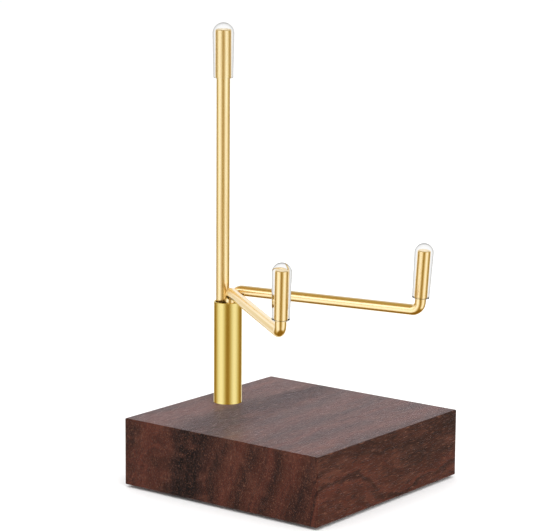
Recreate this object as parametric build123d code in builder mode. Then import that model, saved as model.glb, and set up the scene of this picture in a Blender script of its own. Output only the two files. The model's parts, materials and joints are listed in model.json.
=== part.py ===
from build123d import *

import os
from math import cos, radians, sin, sqrt

# Three-arm display stand for a mineral slice, fossil or small plate.
#
# A walnut block carries a short brass tube near its back edge. Three brass rods are packed side by side in
# the tube: one straight back rod, and two arms that bend forward just above the tube and turn up again at
# their ends. The slice stands on the two arms, leans on the back rod and is kept from sliding off by the
# upturned tips. The arms swivel by hand in the tube. Clear silicone caps are pushed over the three rod ends.
# A tapped plug closes the tube's foot, and a screw from below pulls tube and plug down into a seat in the
# block. Felt under the block is notched round that screw.
#
# Millimetres. Origin on the resting surface under the block's centre, +Z up, -Y is the front of the stand.

# Walnut block and the felt under it
block_side = 70.0
block_height = 20.0
edge_break = 0.4
felt_side = 61.0
felt_thickness = 0.8
felt_corner = 3.0
felt_notch = 13.0

# Post: tube, tapped plug and where they stand
post_y = 24.5
tube_outer = 8.5
tube_bore = 7.65
tube_rise = 30.9
seat_depth = 4.0
seat_slack = 0.05
plug_length = 10.0
rim_chamfer = 0.15

# Rods
back_rod_diameter = 4.0
arm_diameter = 3.2
rod_gap = 0.035
rod_end_chamfer = 0.3
bend_radius = 2.6
bundle_turn = 12.0

# Arms: height over the tube, reach from swivel axis to tip axis, and the upturned tip
arm_rise = 3.2
arm_reach = 61.0
tip_rise = 17.4
tip_lean = 3.5
right_heading = 8.6
left_heading = -38.4

# Back rod's end over the block's top face
back_rod_height = 111.7

# Silicone caps
cap_slack = 0.05
cap_end = 2.2
cap_taper = 0.25
back_cap_skin = 1.2
arm_cap_skin = 1.15
back_cap_length = 16.3
arm_cap_length = 16.0
mouth_fillet = 0.3

# M4 screw and washers, in a counterbore under the block
screw_diameter = 4.0
screw_length = 20.0
screw_clearance = 4.5
screw_tip_chamfer = 0.5
head_diameter = 8.0
head_height = 3.1
head_fillet = 1.2
recess_length = 4.4
recess_width = 1.0
recess_depth = 1.7
recess_taper = 8.0
counterbore_diameter = 10.5
counterbore_depth = 6.5
washer_outer = 9.0
washer_inner = 4.3
washer_thickness = 0.8
lock_outer = 7.6
lock_inner = 4.1
lock_thickness = 1.0
lock_split = 0.9
lock_split_slope = 20.0

# Levels
block_bottom = felt_thickness
block_top = block_bottom + block_height
tube_bottom = block_top - seat_depth
tube_top = block_top + tube_rise
plug_top = tube_bottom + plug_length
arm_level = tube_top + arm_rise
counterbore_top = block_bottom + counterbore_depth
lock_top = counterbore_top - washer_thickness
head_top = lock_top - lock_thickness

# The rods' places in the tube, from its axis and before the bundle is turned: a rod gap off the bore's wall,
# and the two arms side by side, a rod gap apart
arm_offset_x = (arm_diameter + rod_gap) / 2
arm_offset_y = -sqrt(((tube_bore - arm_diameter) / 2 - rod_gap) ** 2 - arm_offset_x**2)
back_rod_offset_y = (tube_bore - back_rod_diameter) / 2 - rod_gap

os.makedirs("parts", exist_ok=True)


def save(part, name):
    """Labels one finished piece and writes it as its own STEP file."""
    part.label = name
    export_step(part, f"parts/{name}.step")


def rod_place(offset_x, offset_y):
    """Foot of a rod in the tube, on top of the plug, with the bundle turned about the tube's axis."""
    return Vector(0, post_y, plug_top) + Vector(offset_x, offset_y, 0).rotate(Axis.Z, bundle_turn)


def arm_direction(heading, lean=90.0):
    """Unit vector at a heading in degrees, from the front towards +X, leaning out from the vertical."""
    flat = sin(radians(lean))
    return Vector(sin(radians(heading)) * flat, -cos(radians(heading)) * flat, cos(radians(lean)))


def arm_points(side, heading):
    """Corners of one arm's centreline: foot of the tail, over the tube, at the tip, and the tip's end."""
    foot = rod_place(side * arm_offset_x, arm_offset_y)
    over_tube = Vector(foot.X, foot.Y, arm_level)
    under_tip = over_tube + arm_direction(heading) * arm_reach
    tip_end = under_tip + arm_direction(heading, tip_lean) * (tip_rise / cos(radians(tip_lean)))
    return foot, over_tube, under_tip, tip_end


def make_arm(side, heading):
    """One arm, bent from a single round rod: tail, bend over the tube, reach, bend, upturned tip."""
    with BuildPart() as arm:
        with BuildLine() as centreline:
            FilletPolyline(*arm_points(side, heading), radius=bend_radius)
        with BuildSketch(Plane(origin=centreline.line @ 0, z_dir=centreline.line % 0)):
            Circle(arm_diameter / 2)
        sweep()
        chamfer(arm.faces().filter_by(GeomType.PLANE).edges(), rod_end_chamfer)
    return arm.part


def make_cap(rod_end, direction, rod_diameter, skin, length):
    """Sleeve with a domed closed end, pushed over a rod from its end face at rod_end."""
    bore_radius = rod_diameter / 2 + cap_slack
    dome_radius = rod_diameter / 2 + skin
    shoulder = cap_end - dome_radius
    mouth = cap_end - length
    along = Plane(origin=rod_end, z_dir=direction)
    with BuildPart() as cap:
        with BuildSketch(Plane(origin=rod_end, x_dir=along.x_dir, z_dir=-along.y_dir)):
            with BuildLine():
                Polyline((0, cap_end), (0, 0), (bore_radius, 0), (bore_radius, mouth),
                         (dome_radius - cap_taper, mouth), (dome_radius, shoulder))
                CenterArc((0, shoulder), dome_radius, 0, 90)
            make_face()
        revolve(axis=Axis(rod_end, direction))
        rim = cap.edges().filter_by(GeomType.CIRCLE).sort_by(Axis(rod_end, direction))[:2]
        fillet(rim.sort_by(SortBy.LENGTH)[-1], mouth_fillet)
    return cap.part


# Walnut block: seat for the tube from above, screw hole and counterbore from below
with BuildPart() as walnut_block:
    with BuildSketch(Plane.XY.offset(block_bottom)):
        Rectangle(block_side, block_side)
    extrude(amount=block_height)
    fillet(walnut_block.edges(), edge_break)
    with Locations((0, post_y, block_top)):
        CounterBoreHole(screw_clearance / 2, tube_outer / 2 + seat_slack, seat_depth)
    with Locations(Plane(origin=(0, post_y, block_bottom), z_dir=(0, 0, -1))):
        Hole(counterbore_diameter / 2, counterbore_depth)
save(walnut_block.part, "walnut_block")

# Felt: one thin sheet with rounded corners and a notch round the screw, open to the back
with BuildPart() as felt_pad:
    with BuildSketch():
        RectangleRounded(felt_side, felt_side, felt_corner)
        with Locations((0, post_y)):
            Circle(felt_notch / 2, mode=Mode.SUBTRACT)
            Rectangle(felt_notch, block_side, align=(Align.CENTER, Align.MIN), mode=Mode.SUBTRACT)
    extrude(amount=felt_thickness)
save(felt_pad.part, "felt_pad")

# Post tube, open at the top
with BuildPart() as post_tube:
    with BuildSketch(Plane.XY.offset(tube_bottom)):
        with Locations((0, post_y)):
            Circle(tube_outer / 2)
            Circle(tube_bore / 2, mode=Mode.SUBTRACT)
    extrude(amount=tube_top - tube_bottom)
    chamfer(post_tube.edges().group_by(Axis.Z)[-1], rim_chamfer)
save(post_tube.part, "post_tube")

# Tapped plug that closes the tube's foot
with BuildPart() as post_plug:
    with BuildSketch(Plane.XY.offset(tube_bottom)):
        with Locations((0, post_y)):
            Circle(tube_bore / 2)
            Circle(screw_diameter / 2, mode=Mode.SUBTRACT)
    extrude(amount=plug_length)
save(post_plug.part, "post_plug")

# Pan-head screw with a cross recess
with BuildPart() as post_screw:
    with BuildSketch(Plane.XY.offset(head_top)):
        with Locations((0, post_y)):
            Circle(screw_diameter / 2)
    extrude(amount=screw_length)
    chamfer(post_screw.edges().group_by(Axis.Z)[-1], screw_tip_chamfer)
    with BuildSketch(Plane.XY.offset(head_top)):
        with Locations((0, post_y)):
            Circle(head_diameter / 2)
    extrude(amount=-head_height)
    fillet(post_screw.edges().group_by(Axis.Z)[0], head_fillet)
    with BuildSketch(Plane.XY.offset(head_top - head_height)):
        with Locations((0, post_y)):
            Rectangle(recess_length, recess_width)
            Rectangle(recess_width, recess_length)
    extrude(amount=recess_depth, taper=recess_taper, mode=Mode.SUBTRACT)
save(post_screw.part, "post_screw")

# Flat washer against the wood
with BuildPart() as flat_washer:
    with BuildSketch(Plane.XY.offset(lock_top)):
        with Locations((0, post_y)):
            Circle(washer_outer / 2)
            Circle(washer_inner / 2, mode=Mode.SUBTRACT)
    extrude(amount=washer_thickness)
save(flat_washer.part, "flat_washer")

# Split spring washer under the screw's head
with BuildPart() as lock_washer:
    with BuildSketch(Plane.XY.offset(head_top)):
        with Locations((0, post_y)):
            Circle(lock_outer / 2)
            Circle(lock_inner / 2, mode=Mode.SUBTRACT)
    extrude(amount=lock_thickness)
    split_place = Location((lock_outer / 2, post_y, head_top + lock_thickness / 2), (lock_split_slope, 0, 0))
    with Locations(split_place):
        Box(lock_outer, lock_split, 3 * lock_thickness, mode=Mode.SUBTRACT)
save(lock_washer.part, "lock_washer")

# Straight back rod, standing on the plug
back_rod_foot = rod_place(0, back_rod_offset_y)
back_rod_end = Vector(back_rod_foot.X, back_rod_foot.Y, block_top + back_rod_height)
with BuildPart() as back_rod:
    with BuildSketch(Plane(origin=back_rod_foot)):
        Circle(back_rod_diameter / 2)
    extrude(amount=back_rod_end.Z - plug_top)
    chamfer(back_rod.faces().filter_by(GeomType.PLANE).edges(), rod_end_chamfer)
save(back_rod.part, "back_rod")
save(
    make_cap(back_rod_end, Vector(0, 0, 1), back_rod_diameter, back_cap_skin, back_cap_length),
    "back_rod_cap",
)

# The two arms and their caps
for name, side, heading in (("left", -1, left_heading), ("right", 1, right_heading)):
    save(make_arm(side, heading), f"{name}_arm")
    tip_end = arm_points(side, heading)[-1]
    tip_direction = arm_direction(heading, tip_lean)
    save(make_cap(tip_end, tip_direction, arm_diameter, arm_cap_skin, arm_cap_length), f"{name}_arm_cap")
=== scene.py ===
"""Looks for the three-arm display stand: materials, felt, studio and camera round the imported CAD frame."""

import json
import math

import bmesh
import bpy
from mathutils import Matrix, Vector, noise


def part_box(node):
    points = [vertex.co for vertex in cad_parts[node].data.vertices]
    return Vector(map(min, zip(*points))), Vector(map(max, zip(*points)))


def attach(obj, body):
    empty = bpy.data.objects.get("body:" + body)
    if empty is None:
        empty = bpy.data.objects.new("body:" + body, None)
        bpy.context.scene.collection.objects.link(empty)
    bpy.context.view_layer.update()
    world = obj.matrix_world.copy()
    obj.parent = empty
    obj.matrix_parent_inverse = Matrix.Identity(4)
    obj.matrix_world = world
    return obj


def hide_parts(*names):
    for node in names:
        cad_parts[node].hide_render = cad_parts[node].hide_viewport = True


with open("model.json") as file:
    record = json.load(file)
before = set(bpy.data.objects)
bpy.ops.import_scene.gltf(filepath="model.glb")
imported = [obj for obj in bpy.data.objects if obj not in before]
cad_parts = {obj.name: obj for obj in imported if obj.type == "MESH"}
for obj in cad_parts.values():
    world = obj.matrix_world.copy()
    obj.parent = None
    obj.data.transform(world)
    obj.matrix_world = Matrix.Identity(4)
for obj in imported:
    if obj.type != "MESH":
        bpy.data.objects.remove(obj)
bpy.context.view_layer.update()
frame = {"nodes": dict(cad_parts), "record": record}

MM = 0.001


# ---------------------------------------------------------------- node helpers


def add_node(tree, kind, inputs=None, **settings):
    """Adds a shader node. An input's value is a number, a colour, a vector, or a socket to link from."""
    node = tree.nodes.new("ShaderNode" + kind)
    for name, value in settings.items():
        setattr(node, name, value)
    for name, value in (inputs or {}).items():
        if isinstance(value, bpy.types.NodeSocket):
            tree.links.new(value, node.inputs[name])
        else:
            node.inputs[name].default_value = value
    return node


def math_node(tree, operation, first, second=0.0):
    """Result of one math operation on two numbers or sockets."""
    return add_node(tree, "Math", {0: first, 1: second}, operation=operation).outputs[0]


def smooth_range(tree, value, low, high, to_low=0.0, to_high=1.0):
    """value between low and high, eased to run from to_low to to_high."""
    ranges = {"Value": value, "From Min": low, "From Max": high, "To Min": to_low, "To Max": to_high}
    return add_node(tree, "MapRange", ranges, interpolation_type="SMOOTHSTEP").outputs["Result"]


def offset_noise(tree, noise_value, size):
    """Noise moved to run from -size/2 to size/2."""
    return math_node(tree, "MULTIPLY", math_node(tree, "SUBTRACT", noise_value, 0.5), size)


def ramp(tree, factor, stops):
    """Colour ramp through (position, colour) stops."""
    node = add_node(tree, "ValToRGB", {"Fac": factor})
    elements = node.color_ramp.elements
    while len(elements) < len(stops):
        elements.new(1.0)
    for element, (position, colour) in zip(elements, stops):
        element.position = position
        element.color = (*colour, 1.0)
    return node.outputs["Color"]


def mix_colour(tree, factor, first, second):
    """Two colours mixed by factor."""
    node = add_node(tree, "Mix", data_type="RGBA")
    for socket, value in ((node.inputs[0], factor), (node.inputs[6], first), (node.inputs[7], second)):
        if isinstance(value, bpy.types.NodeSocket):
            tree.links.new(value, socket)
        elif isinstance(value, tuple):
            socket.default_value = (*value, 1.0)
        else:
            socket.default_value = value
    return node.outputs[2]


def stretched_noise(tree, coords, stretch, detail=2.0, roughness=0.5):
    """Noise whose grain is 1/stretch millimetres long along each axis, from 0 to 1."""
    mapping = add_node(tree, "Mapping", {"Vector": coords, "Scale": stretch})
    values = {"Vector": mapping.outputs[0], "Scale": 1.0, "Detail": detail, "Roughness": roughness}
    return add_node(tree, "TexNoise", values).outputs["Fac"]


def grey(level):
    """Neutral colour."""
    return (level, level, level)


def new_material(name):
    """A material with its tree, its shader and its object coordinates in millimetres."""
    material = bpy.data.materials.new(name)
    material.use_nodes = True
    tree = material.node_tree
    shader = tree.nodes["Principled BSDF"]
    coords = add_node(tree, "TexCoord").outputs["Object"]
    scaled = add_node(tree, "VectorMath", {0: coords, "Scale": 1 / MM}, operation="SCALE").outputs[0]
    return material, tree, shader, scaled


def bump(tree, shader, height, distance_mm, strength=1.0):
    """Bump on the shader, from a height that runs from 0 to 1 over distance_mm."""
    values = {"Height": height, "Distance": distance_mm * MM, "Strength": strength}
    tree.links.new(add_node(tree, "Bump", values).outputs[0], shader.inputs["Normal"])


# ---------------------------------------------------------------- materials

block_low, block_high = (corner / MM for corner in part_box("walnut_block"))


def growth_rings(tree, coords, x, y, z):
    """Millimetres across the growth rings: sheets near upright, that lean, drift and wave a little."""
    lean = math_node(tree, "MULTIPLY", math_node(tree, "SUBTRACT", z, block_high.z), 0.32)
    slant = smooth_range(tree, y, block_low.y, 5.0, 0.02, -0.107)
    drift = math_node(tree, "MULTIPLY", math_node(tree, "SUBTRACT", x, block_low.x), slant)
    slow = stretched_noise(tree, coords, (0.025, 0.05, 0.05), 2.0, 0.5)
    wave = offset_noise(tree, slow, 9.0)
    ragged = stretched_noise(tree, coords, (0.05, 0.30, 0.12), 5.0, 0.6)
    tear = offset_noise(tree, ragged, 3.6)
    ring = math_node(tree, "ADD", math_node(tree, "ADD", y, lean), math_node(tree, "ADD", drift, wave))
    ring = math_node(tree, "ADD", ring, tear)

    # Curled grain towards the back, as round a knot that was cut away
    curls = stretched_noise(tree, coords, (0.05, 0.13, 0.16), 3.0, 0.6)
    curl = offset_noise(tree, curls, smooth_range(tree, y, 13.0, 22.0, 0.0, 26.0))
    return math_node(tree, "ADD", ring, curl)


def walnut():
    """Dark walnut with its grain along X: one field of growth rings seen on every face of the block."""
    material, tree, shader, coords = new_material("walnut")
    shader.inputs["Specular IOR Level"].default_value = 0.05
    shader.inputs["Sheen Weight"].default_value = 0.50
    shader.inputs["Sheen Roughness"].default_value = 0.27
    shader.inputs["Sheen Tint"].default_value = (1.0, 0.78, 0.83, 1.0)
    x, y, z = add_node(tree, "SeparateXYZ", {0: coords}).outputs
    ring = growth_rings(tree, coords, x, y, z)

    # Broad colour of the wood across the rings, from the front of the block to its back
    whole_block = {"Value": ring, "From Min": -45.0, "From Max": 45.0}
    across = add_node(tree, "MapRange", whole_block).outputs["Result"]
    red, brown = (0.088, 0.025, 0.016), (0.053, 0.017, 0.011)
    dark, black = (0.023, 0.010, 0.008), (0.006, 0.004, 0.004)
    colour = ramp(tree, across, [
        (0.00, brown), (0.06, red), (0.09, brown), (0.13, dark), (0.16, brown), (0.20, red),
        (0.23, brown), (0.255, dark), (0.28, red), (0.325, brown), (0.345, dark), (0.37, brown),
        (0.41, red), (0.445, brown), (0.47, dark), (0.49, brown), (0.525, dark), (0.55, black),
        (0.61, black), (0.645, dark), (0.68, brown), (0.73, red), (0.79, red), (0.83, brown),
        (0.87, dark), (0.90, brown), (0.94, dark), (1.00, black),
    ])

    # Thin dark lines near the front
    for line_place, line_width in ((-36.6, 0.30), (-39.3, 0.35), (-35.4, 0.12)):
        from_line = math_node(tree, "ABSOLUTE", math_node(tree, "SUBTRACT", ring, line_place))
        line_mask = smooth_range(tree, from_line, line_width * 0.3, line_width * 1.6, 0.8, 0.0)
        colour = mix_colour(tree, line_mask, colour, dark)

    # Finer rings, and clouds of redder wood along the grain
    ring_vector = add_node(tree, "CombineXYZ", {0: math_node(tree, "MULTIPLY", x, 0.012), 1: ring,
                                                2: math_node(tree, "MULTIPLY", z, 0.03)}).outputs[0]
    fine_rings = stretched_noise(tree, ring_vector, (1.0, 0.7, 1.0), 5.0, 0.6)
    colour = mix_colour(tree, smooth_range(tree, fine_rings, 0.36, 0.58, 0.55, 0.0), colour, dark)
    clouds = stretched_noise(tree, coords, (0.05, 0.14, 0.16), 3.0, 0.6)
    colour = mix_colour(tree, smooth_range(tree, clouds, 0.5, 0.7, 0.0, 0.5), colour, (0.118, 0.042, 0.027))

    # Pores: dark dashes along the grain, which show as dots on the end faces, and pale flecks between them
    pores = stretched_noise(tree, coords, (0.26, 3.4, 3.4), 2.0, 0.6)
    pore_mask = smooth_range(tree, pores, 0.50, 0.66)
    colour = mix_colour(tree, math_node(tree, "MULTIPLY", pore_mask, 0.65), colour, black)
    flecks = stretched_noise(tree, coords, (0.30, 2.6, 2.6), 3.0, 0.7)
    fleck_mask = smooth_range(tree, flecks, 0.54, 0.72)
    colour = mix_colour(tree, math_node(tree, "MULTIPLY", fleck_mask, 0.65), colour, (0.23, 0.10, 0.062))

    # Coarser fibre bundles, darker and paler in turn
    bundles = stretched_noise(tree, coords, (0.06, 0.8, 0.35), 4.0, 0.7)
    colour = mix_colour(tree, smooth_range(tree, bundles, 0.36, 0.50, 0.15, 0.0), colour, black)
    pale_bundles = smooth_range(tree, bundles, 0.50, 0.66, 0.0, 0.12)
    colour = mix_colour(tree, pale_bundles, colour, (0.16, 0.066, 0.042))
    tree.links.new(colour, shader.inputs["Base Color"])

    # The black band is duller than the rest
    black_band = 7.0
    fibres = stretched_noise(tree, coords, (0.22, 3.4, 3.4), 3.0, 0.6)
    from_band = math_node(tree, "ABSOLUTE", math_node(tree, "SUBTRACT", ring, black_band))
    duller = smooth_range(tree, from_band, 4.0, 9.0, 0.10, 0.0)
    roughness = math_node(tree, "ADD", smooth_range(tree, fibres, 0.3, 0.7, 0.28, 0.46), duller)
    tree.links.new(roughness, shader.inputs["Roughness"])

    # Relief of fibres and bundles, cut by the pores
    relief = math_node(tree, "MULTIPLY", fibres, 0.7)
    relief = math_node(tree, "ADD", relief, math_node(tree, "MULTIPLY", bundles, 0.6))
    grooves = math_node(tree, "SUBTRACT", relief, pore_mask)
    bump(tree, shader, grooves, 0.045, 1.0)
    return material


def drawn_metal(tree, shader, lines, roughness, anisotropy, direction):
    """Metal whose fine lines run along the piece, so that its gloss spreads round it."""
    shader.inputs["Metallic"].default_value = 1.0
    shader.inputs["Anisotropic"].default_value = anisotropy
    tangent = add_node(tree, "Tangent", direction_type=direction)
    if direction == "RADIAL":
        tangent.axis = "Z"
    tree.links.new(tangent.outputs[0], shader.inputs["Tangent"])
    spread = {"Value": lines, "To Min": roughness[0], "To Max": roughness[1]}
    tree.links.new(add_node(tree, "MapRange", spread).outputs["Result"], shader.inputs["Roughness"])


def polished_brass(name="polished_brass", roughness=(0.16, 0.24), anisotropy=0.5, yellow=0.03):
    """Pale polished brass rod, with faint haze, and drawing lines along it. yellow makes it less red."""
    material, tree, shader, coords = new_material(name)
    haze = stretched_noise(tree, coords, (0.12, 0.12, 0.12), 3.0, 0.6)
    around = add_node(tree, "TexCoord").outputs["UV"]
    lines = stretched_noise(tree, around, (26.0, 0.02, 1.0), 3.0, 0.7)
    dim, bright = (0.99, 0.77 + yellow, 0.44 + yellow), (1.0, 0.80 + yellow, 0.48 + yellow)
    tint = mix_colour(tree, haze, dim, bright)
    streaks = smooth_range(tree, lines, 0.40, 0.65, 0.0, 0.5)
    tree.links.new(mix_colour(tree, streaks, tint, (0.98, 0.68, 0.33)), shader.inputs["Base Color"])
    drawn_metal(tree, shader, lines, roughness, anisotropy, "UV_MAP")
    bump(tree, shader, lines, 0.004, 0.5)
    return material


def satin_brass():
    """Deeper yellow lacquered brass tube, finely brushed along its length."""
    material, tree, shader, coords = new_material("satin_brass")
    brushing = stretched_noise(tree, coords, (7.0, 7.0, 0.12), 3.0, 0.6)
    tint = mix_colour(tree, brushing, (0.81, 0.66, 0.25), (0.85, 0.70, 0.29))
    tree.links.new(tint, shader.inputs["Base Color"])
    drawn_metal(tree, shader, brushing, (0.16, 0.24), 0.5, "RADIAL")
    bump(tree, shader, brushing, 0.002, 0.4)
    return material


def plain_brass():
    """Turned brass of the plug."""
    material, tree, shader, coords = new_material("plain_brass")
    shader.inputs["Metallic"].default_value = 1.0
    turning = stretched_noise(tree, coords, (0.3, 0.3, 8.0), 2.0, 0.5)
    tint = mix_colour(tree, turning, (0.72, 0.48, 0.16), (0.82, 0.58, 0.22))
    tree.links.new(tint, shader.inputs["Base Color"])
    tree.links.new(smooth_range(tree, turning, 0.3, 0.7, 0.28, 0.45), shader.inputs["Roughness"])
    bump(tree, shader, turning, 0.01, 0.5)
    return material


def zinc_steel():
    """Bright zinc plate on the screw and washers."""
    material, tree, shader, coords = new_material("zinc_steel")
    shader.inputs["Metallic"].default_value = 1.0
    spangle = add_node(tree, "TexVoronoi", {"Vector": coords, "Scale": 1.6}).outputs["Color"]
    shade = add_node(tree, "RGBToBW", {0: spangle}).outputs[0]
    tint = mix_colour(tree, shade, (0.50, 0.51, 0.53), (0.66, 0.67, 0.68))
    tree.links.new(tint, shader.inputs["Base Color"])
    tree.links.new(smooth_range(tree, shade, 0.0, 1.0, 0.22, 0.40), shader.inputs["Roughness"])
    fine = stretched_noise(tree, coords, (6.0, 6.0, 6.0))
    bump(tree, shader, fine, 0.01, 0.5)
    return material


def felt():
    """Near-black pressed wool."""
    material, tree, shader, coords = new_material("felt")
    shader.inputs["Sheen Weight"].default_value = 0.35
    shader.inputs["Specular IOR Level"].default_value = 0.1
    clumps = stretched_noise(tree, coords, (0.8, 0.8, 0.8), 4.0, 0.7)
    tree.links.new(mix_colour(tree, clumps, (0.010, 0.010, 0.011), (0.045, 0.044, 0.046)),
                   shader.inputs["Base Color"])
    shader.inputs["Roughness"].default_value = 0.95
    fibres = stretched_noise(tree, coords, (5.0, 5.0, 5.0), 4.0, 0.8)
    bump(tree, shader, fibres, 0.15, 0.9)
    return material


def clear_silicone():
    """Clear moulded silicone: not quite even, with painted grey shade where its outside is seen edge-on."""
    material, tree, shader, coords = new_material("clear_silicone")
    shader.inputs["Transmission Weight"].default_value = 1.0
    shader.inputs["IOR"].default_value = 1.18
    shader.inputs["Roughness"].default_value = 0.0
    waves = stretched_noise(tree, coords, (0.35, 0.35, 0.12), 2.0, 0.5)
    clear = mix_colour(tree, waves, (0.96, 0.96, 0.96), (1.0, 1.0, 1.0))
    # Painted shade: the base colour turns grey where the outside of the cap is seen edge-on, drawing dark
    # outlines
    edge_on = add_node(tree, "LayerWeight").outputs["Facing"]
    outside = math_node(tree, "SUBTRACT", 1.0, add_node(tree, "NewGeometry").outputs["Backfacing"])
    painted_edge_shade = math_node(tree, "MULTIPLY", smooth_range(tree, edge_on, 0.25, 0.75), outside)
    tree.links.new(mix_colour(tree, painted_edge_shade, clear, (0.36, 0.36, 0.35)), shader.inputs["Base Color"])
    bump(tree, shader, waves, 0.03, 0.5)
    return material


SLOT_MATERIALS = {
    "walnut": walnut,
    "felt": felt,
    "satin_brass": satin_brass,
    "plain_brass": plain_brass,
    "polished_brass": polished_brass,
    "zinc_steel": zinc_steel,
    "clear_silicone": clear_silicone,
}
materials = {slot: make() for slot, make in SLOT_MATERIALS.items()}
drawn_brass = polished_brass("drawn_brass", roughness=(0.12, 0.40), anisotropy=0.80, yellow=0.06)
for subpart in frame["record"]["subparts"]:
    node_object = frame["nodes"][subpart["node"]]
    node_object.data.materials.clear()
    node_object.data.materials.append(materials[subpart["material_slot"]])


# ---------------------------------------------------------------- pieces made here

# The stand's sizes in millimetres, as the CAD model has them
post_axis = Vector((0.0, 24.5, 0.0))
plug_top = 26.8
arm_level = 54.9
back_rod_top = 132.5
back_rod_radius = 2.0
arm_radius = 1.6
back_rod_place = (0.0, 1.79)
arm_places = {"left": (-1.6175, -1.4764), "right": (1.6175, -1.4764)}
bundle_turn = 12.0
arm_headings = {"left": -38.4, "right": 8.6}
arm_reach = 61.0
tip_rise = 17.4
tip_lean = 3.5
bend_radius = 2.6
rod_edge = 0.3
cap_end = 2.2
cap_taper = 0.25
cap_lip = 0.3
felt_side = 61.0
felt_corner = 3.0
felt_notch = 13.0

# (skin over the rod, length) of the caps
back_cap_size = (1.2, 16.3)
arm_cap_size = (1.15, 16.0)

# Details that the CAD model leaves out: how far a cap bites into its rod, and the edges of its bore
cap_grip = 0.02
bore_bevel = 0.10
bore_corner = 0.3

# Steps of the meshes
bend_steps = 24
rod_segments = 72
cap_segments = 96


def arc(centre, radius, first, last, steps):
    """Points round a flat arc from one angle to another in degrees, with both ends."""
    angles = [math.radians(first + (last - first) * step / steps) for step in range(steps + 1)]
    return [(centre[0] + radius * math.cos(angle), centre[1] + radius * math.sin(angle)) for angle in angles]


def in_bundle(place):
    """Foot of a rod that stands on the plug in the tube."""
    turned = Matrix.Rotation(math.radians(bundle_turn), 3, "Z") @ Vector((*place, 0.0))
    return post_axis + turned + Vector((0.0, 0.0, plug_top))


def heading_direction(heading, lean=90.0):
    """Unit vector at a heading in degrees, from the front towards +X, leaning out from the vertical."""
    flat = math.sin(math.radians(lean))
    return Vector((
        math.sin(math.radians(heading)) * flat,
        -math.cos(math.radians(heading)) * flat,
        math.cos(math.radians(lean)),
    ))


def bent_rod_path(corners):
    """(point, direction) pairs along a rod bent at its inner corners, each bend swept in even steps."""
    path = [(corners[0], (corners[1] - corners[0]).normalized())]
    for before, corner, after in zip(corners, corners[1:], corners[2:]):
        into, out = (corner - before).normalized(), (after - corner).normalized()
        turn = into.angle(out)
        inward = (out - into * into.dot(out)).normalized()
        start = corner - into * bend_radius * math.tan(turn / 2)
        for step in range(bend_steps + 1):
            angle = turn * step / bend_steps
            offset = into * math.sin(angle) + inward * (1 - math.cos(angle))
            path.append((start + offset * bend_radius, into * math.cos(angle) + inward * math.sin(angle)))
    path.append((corners[-1], (corners[-1] - corners[-2]).normalized()))
    return path


def round_mesh(name, rings, side, segments):
    """Mesh through (centre, direction, radius) circles in order. side is fixed, across the path."""
    points, faces, corner_uvs, starts = [], [], [], []
    along, lengths = 0.0, []
    last_edge = None
    for centre, direction, radius in rings:
        across = direction.cross(side).normalized()
        edge = centre + across * radius
        along += 0.0 if last_edge is None else (edge - last_edge).length
        last_edge = edge
        lengths.append(along)
        starts.append(len(points))
        if radius == 0.0:
            points.append(centre)
            continue
        for step in range(segments):
            angle = math.tau * step / segments
            points.append(centre + (across * math.cos(angle) + side * math.sin(angle)) * radius)
    for index in range(len(rings) - 1):
        this, following = rings[index][2], rings[index + 1][2]
        for step in range(segments):
            after = (step + 1) % segments
            near = [starts[index] + step, starts[index] + after]
            far = [starts[index + 1] + after, starts[index + 1] + step]
            u, u_after = step / segments, (step + 1) / segments
            near_uvs = [(u, lengths[index]), (u_after, lengths[index])]
            far_uvs = [(u_after, lengths[index + 1]), (u, lengths[index + 1])]
            if this == 0.0:
                near, near_uvs = [starts[index]], near_uvs[:1]
            if following == 0.0:
                far, far_uvs = [starts[index + 1]], far_uvs[:1]
            faces.append(near + far)
            corner_uvs.extend(near_uvs + far_uvs)
    mesh = bpy.data.meshes.new(name)
    mesh.from_pydata([point * MM for point in points], [], faces)
    layer = mesh.uv_layers.new(name="UVMap")
    layer.data.foreach_set("uv", [value for uv in corner_uvs for value in uv])
    mesh.shade_smooth()
    mesh.set_sharp_from_angle(angle=math.radians(50))
    piece = bpy.data.objects.new(name, mesh)
    bpy.context.scene.collection.objects.link(piece)
    return piece


def rounded_end(centre, direction, radius, inward):
    """Rings of a rod's end face with a broken edge, from the face's middle outwards."""
    rings = [(centre, direction, 0.0), (centre, direction, radius * 0.5)]
    for depth, ring_radius in arc((rod_edge, radius - rod_edge), rod_edge, 180, 90, 6):
        rings.append((centre + direction * inward * depth, direction, ring_radius))
    return rings


def place_piece(piece, slot, body, node):
    """Gives a piece its finish and its body, in place of a CAD node."""
    piece.data.materials.append(materials[slot])
    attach(piece, body)
    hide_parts(node)


def make_rod(name, corners, radius, body):
    """Polished rod along its corners, in place of its CAD node."""
    path = bent_rod_path(corners)
    (foot, foot_direction), (end, end_direction) = path[0], path[-1]
    rings = rounded_end(foot, foot_direction, radius, 1.0)
    rings += [(point, direction, radius) for point, direction in path[1:-1]]
    rings += reversed(rounded_end(end, end_direction, radius, -1.0))
    level = Vector((corners[-1].x - corners[0].x, corners[-1].y - corners[0].y, 0.0))
    side = Vector((0.0, 1.0, 0.0))
    if level.length > 1.0:
        side = level.cross(Vector((0.0, 0.0, 1.0))).normalized()
    rod = round_mesh(f"{name}_polished", rings[::-1], side, rod_segments)
    place_piece(rod, "polished_brass", body, name)
    return rod, end, end_direction, side


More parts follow.
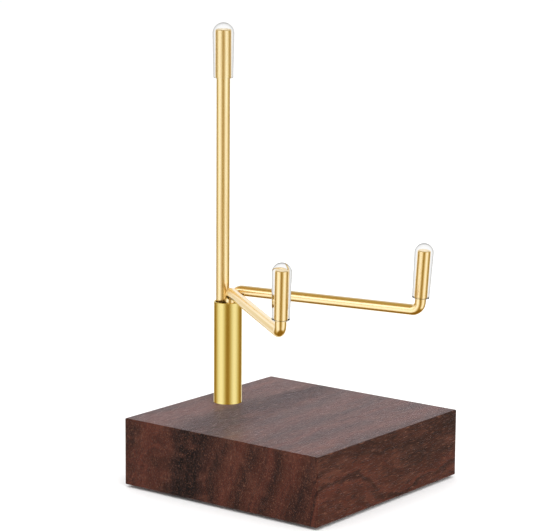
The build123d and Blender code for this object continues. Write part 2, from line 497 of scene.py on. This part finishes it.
def make_cap(name, rod_end, direction, side, rod_radius, size, body):
    """Clear sleeve with a domed closed end, in place of its CAD node, that grips the rod all round."""
    skin, length = size
    outer, bore = rod_radius + skin, rod_radius - cap_grip
    shoulder, mouth = cap_end - outer, cap_end - length
    profile = [(cap_end, 0.0)]
    profile += arc((shoulder, 0.0), outer, 6, 90, 14)
    profile += arc((mouth + cap_lip, outer - cap_taper - cap_lip), cap_lip, 90, 180, 6)
    profile += [(mouth, bore + bore_bevel), (mouth + bore_bevel, bore)]
    profile += [(-cap_grip - bore_corner, bore), (-cap_grip, bore - bore_corner), (-cap_grip, 0.0)]
    rings = [(rod_end + direction * height, direction, radius) for height, radius in profile]
    place_piece(round_mesh(f"{name}_clear", rings, side, cap_segments), "clear_silicone", body, name)


def make_rods_and_caps():
    """The back rod, the two arms and their caps."""
    foot = in_bundle(back_rod_place)
    corners = [foot, Vector((foot.x, foot.y, back_rod_top))]
    rod, end, direction, side = make_rod("back_rod", corners, back_rod_radius, "stand")
    rod.data.materials[0] = drawn_brass
    make_cap("back_rod_cap", end, direction, side, back_rod_radius, back_cap_size, "back_tip_cap")
    for name, heading in arm_headings.items():
        foot = in_bundle(arm_places[name])
        over_tube = Vector((foot.x, foot.y, arm_level))
        under_tip = over_tube + heading_direction(heading) * arm_reach
        tip = heading_direction(heading, tip_lean) * (tip_rise / math.cos(math.radians(tip_lean)))
        corners = [foot, over_tube, under_tip, under_tip + tip]
        _, end, direction, side = make_rod(f"{name}_arm", corners, arm_radius, f"{name}_swing_arm")
        make_cap(f"{name}_arm_cap", end, direction, side, arm_radius, arm_cap_size, f"{name}_tip_cap")


make_rods_and_caps()


def felt_outline(side, corner, notch):
    """Points round a square sheet with rounded corners and a U-shaped notch open to the back."""
    half, points = side / 2, []
    middle = half - corner
    for x, y, start in ((-middle, -middle, 180), (middle, -middle, 270), (middle, middle, 0)):
        points += arc((x, y), corner, start, start + 90, 8)
    points += [(notch / 2, half), (notch / 2, post_axis.y)]
    points += arc((0.0, post_axis.y), notch / 2, -10, -170, 16)
    points += [(-notch / 2, post_axis.y), (-notch / 2, half)]
    points += arc((-middle, middle), corner, 90, 180, 8)
    points = [Vector(point) for point in points]
    spaced = []
    for first, second in zip(points, points[1:] + points[:1]):
        parts = max(1, round((second - first).length / 0.7))
        spaced += [first.lerp(second, part / parts) for part in range(parts)]
    return spaced


def make_felt():
    """Felt sheet under the block, with a soft uneven cut edge, in place of its CAD node."""
    outline = felt_outline(felt_side, felt_corner, felt_notch)
    thickness = block_low.z
    layers = [(0.0, 0.10), (0.08, 0.03), (0.35, 0.0), (0.65, 0.0), (0.92, 0.03), (1.0, 0.10)]
    count, points = len(outline), []
    for level, inset in layers:
        for index, point in enumerate(outline):
            along = (outline[(index + 1) % count] - outline[index - 1]).normalized()
            inward = Vector((-along.y, along.x))
            rough = 0.09 * noise.noise(Vector((point.x, point.y, level * 3.0)) * 1.3) + 0.09
            moved = point + inward * (inset + rough)
            points.append(Vector((moved.x, moved.y, level * thickness)) * MM)
    faces = []
    for layer in range(len(layers) - 1):
        for index in range(count):
            after = (index + 1) % count
            first, second = layer * count, (layer + 1) * count
            faces.append([first + index, first + after, second + after, second + index])
    top = (len(layers) - 1) * count
    faces += [list(reversed(range(count))), list(range(top, top + count))]
    mesh = bpy.data.meshes.new("felt_sheet")
    mesh.from_pydata(points, [], faces)
    shape = bmesh.new()
    shape.from_mesh(mesh)
    bmesh.ops.triangulate(shape, faces=[face for face in shape.faces if len(face.verts) > 4])
    shape.to_mesh(mesh)
    shape.free()
    piece = bpy.data.objects.new("felt_sheet", mesh)
    bpy.context.scene.collection.objects.link(piece)
    place_piece(piece, "felt", "stand", "felt_pad")


make_felt()


# ---------------------------------------------------------------- camera

camera_azimuth = math.radians(-52.66)
camera_elevation = math.radians(10.14)
camera_roll = math.radians(0.42)
camera_distance = 624.9 * MM
camera_aim = Vector((3.2, 8.4, 63.7)) * MM
camera_lens = 137.3

away_from_stand = Vector((
    math.sin(camera_azimuth) * math.cos(camera_elevation),
    -math.cos(camera_azimuth) * math.cos(camera_elevation),
    math.sin(camera_elevation),
))


def make_camera():
    """Camera that looks down at the stand from its front left."""
    data = bpy.data.cameras.new("camera")
    data.lens = camera_lens
    data.clip_start, data.clip_end = 0.01, 100.0
    camera = bpy.data.objects.new("camera", data)
    bpy.context.scene.collection.objects.link(camera)
    turn = (-away_from_stand).to_track_quat("-Z", "Y").to_matrix().to_4x4()
    roll = Matrix.Rotation(camera_roll, 4, "Z")
    camera.matrix_world = Matrix.Translation(camera_aim + away_from_stand * camera_distance) @ turn @ roll
    bpy.context.scene.camera = camera


make_camera()


# ---------------------------------------------------------------- studio


def make_floor():
    """Pale floor that reaches past the view. It is clear from below, and unseen in metal and clear caps."""
    size = 12.0
    mesh = bpy.data.meshes.new("floor")
    corners = [(-size, -size, 0), (size, -size, 0), (size, size, 0), (-size, size, 0)]
    mesh.from_pydata(corners, [], [(0, 1, 2, 3)])
    floor = bpy.data.objects.new("floor", mesh)
    bpy.context.scene.collection.objects.link(floor)
    floor.visible_glossy = False
    floor.visible_transmission = False
    material = bpy.data.materials.new("floor")
    material.use_nodes = True
    tree = material.node_tree
    shader = tree.nodes["Principled BSDF"]
    shader.inputs["Base Color"].default_value = (0.93, 0.93, 0.93, 1.0)
    shader.inputs["Roughness"].default_value = 1.0
    shader.inputs["Specular IOR Level"].default_value = 0.0
    below = add_node(tree, "NewGeometry").outputs["Backfacing"]
    clear = add_node(tree, "BsdfTransparent").outputs[0]
    both = add_node(tree, "MixShader", {0: below, 1: shader.outputs[0], 2: clear}).outputs[0]
    tree.links.new(both, tree.nodes["Material Output"].inputs["Surface"])
    mesh.materials.append(material)


def make_world():
    """Round studio: soft boxes left and right of the main view, a warm dark gap between, flags behind."""
    world = bpy.data.worlds.new("studio")
    bpy.context.scene.world = world
    world.use_nodes = True
    tree = world.node_tree
    direction = add_node(tree, "TexCoord").outputs["Generated"]
    height = add_node(tree, "SeparateXYZ", {0: direction}).outputs[2]
    along_view = {0: direction, 1: -away_from_stand}
    ahead = add_node(tree, "VectorMath", along_view, operation="DOT_PRODUCT").outputs["Value"]

    # Light level of the walls, by angle from the main view, which the gradient is turned to
    facing = math.atan2(away_from_stand.y, away_from_stand.x)
    turn = {"Vector": direction, "Rotation": (0, 0, -facing)}
    turned = add_node(tree, "Mapping", turn, vector_type="POINT")
    around = add_node(tree, "TexGradient", {0: turned.outputs[0]}, gradient_type="RADIAL").outputs["Fac"]
    walls = [
        (-180, 1.0), (-150, 0.95), (-136, 0.30), (-122, 0.30), (-100, 0.66), (-82, 1.0), (-60, 1.22),
        (-46, 1.20), (-26, 0.76), (-9, 0.34), (8, 0.34), (26, 0.74), (46, 1.10), (60, 1.20),
        (76, 0.98), (98, 0.60), (120, 0.30), (136, 0.30), (150, 0.95), (180, 1.0),
    ]
    level = ramp(tree, around, [((angle + 180) / 360, grey(value / 2)) for angle, value in walls])
    level = math_node(tree, "MULTIPLY", level, smooth_range(tree, height, 0.12, 0.30, 2.0, 2.6))
    ceiling_level, ground_level = 0.46, 0.26
    ceiling = smooth_range(tree, height, 0.55, 0.62)
    ground = smooth_range(tree, height, -0.68, -0.88)
    level = add_node(tree, "Mix", {0: ceiling, 2: level, 3: ceiling_level}).outputs[0]
    level = add_node(tree, "Mix", {0: ground, 2: level, 3: ground_level}).outputs[0]

    # The dimmer, the warmer
    warmth = math_node(tree, "MINIMUM", level, 1.0)
    green = math_node(tree, "MULTIPLY", level, math_node(tree, "POWER", warmth, 0.45))
    blue = math_node(tree, "MULTIPLY", level, math_node(tree, "POWER", warmth, 2.0))
    studio = add_node(tree, "CombineColor", {0: level, 1: green, 2: blue}).outputs[0]
    behind = smooth_range(tree, ahead, 0.30, 0.55)
    behind = math_node(tree, "MULTIPLY", behind, smooth_range(tree, height, 0.15, 0.3))
    back_colour = mix_colour(tree, smooth_range(tree, height, 0.2, 0.55), grey(1.0), grey(0.60))
    studio = mix_colour(tree, behind, studio, back_colour)

    # What is seen straight through the clear caps: the backdrop, and the studio's darker sides at their edges
    refracted = mix_colour(tree, smooth_range(tree, ahead, 0.30, 0.88), grey(0.75), grey(1.0))
    refracted = mix_colour(tree, smooth_range(tree, height, -0.50, -0.70), refracted, grey(0.60))

    # What each kind of ray meets: the studio in gloss, the backdrop elsewhere, an even dome for the light
    path = add_node(tree, "LightPath").outputs
    reflected = math_node(tree, "GREATER_THAN", path["Glossy Depth"], 0.5)
    transmitted = math_node(tree, "GREATER_THAN", path["Transmission Depth"], 0.5)
    plain = mix_colour(tree, transmitted, grey(1.0), refracted)
    colour = mix_colour(tree, reflected, plain, studio)
    colour = mix_colour(tree, path["Is Diffuse Ray"], colour, grey(1.08))
    tree.links.new(colour, tree.nodes["Background"].inputs["Color"])


def make_light(name, place, size, power):
    """Square soft box that faces the stand, out of sight of camera, metal and clear caps."""
    data = bpy.data.lights.new(name, "AREA")
    data.shape, data.size, data.energy = "SQUARE", size, power
    light = bpy.data.objects.new(name, data)
    bpy.context.scene.collection.objects.link(light)
    place = Vector(place)
    turn = (camera_aim - place).to_track_quat("-Z", "Y").to_matrix().to_4x4()
    light.matrix_world = Matrix.Translation(place) @ turn
    light.visible_camera = False
    light.visible_glossy = False
    light.visible_transmission = False


make_floor()

# Metal and clear caps show the studio alone, without the dark block and felt
for dark_piece in (frame["nodes"]["walnut_block"], bpy.data.objects["felt_sheet"]):
    dark_piece.visible_glossy = False
    dark_piece.visible_transmission = False

make_world()
make_light("overhead_box", (-0.3, -0.2, 1.4), 1.6, 9.0)
make_light("front_box", (-0.5, -1.3, 0.7), 1.0, 6.0)
bpy.context.scene.view_settings.view_transform = "Standard"
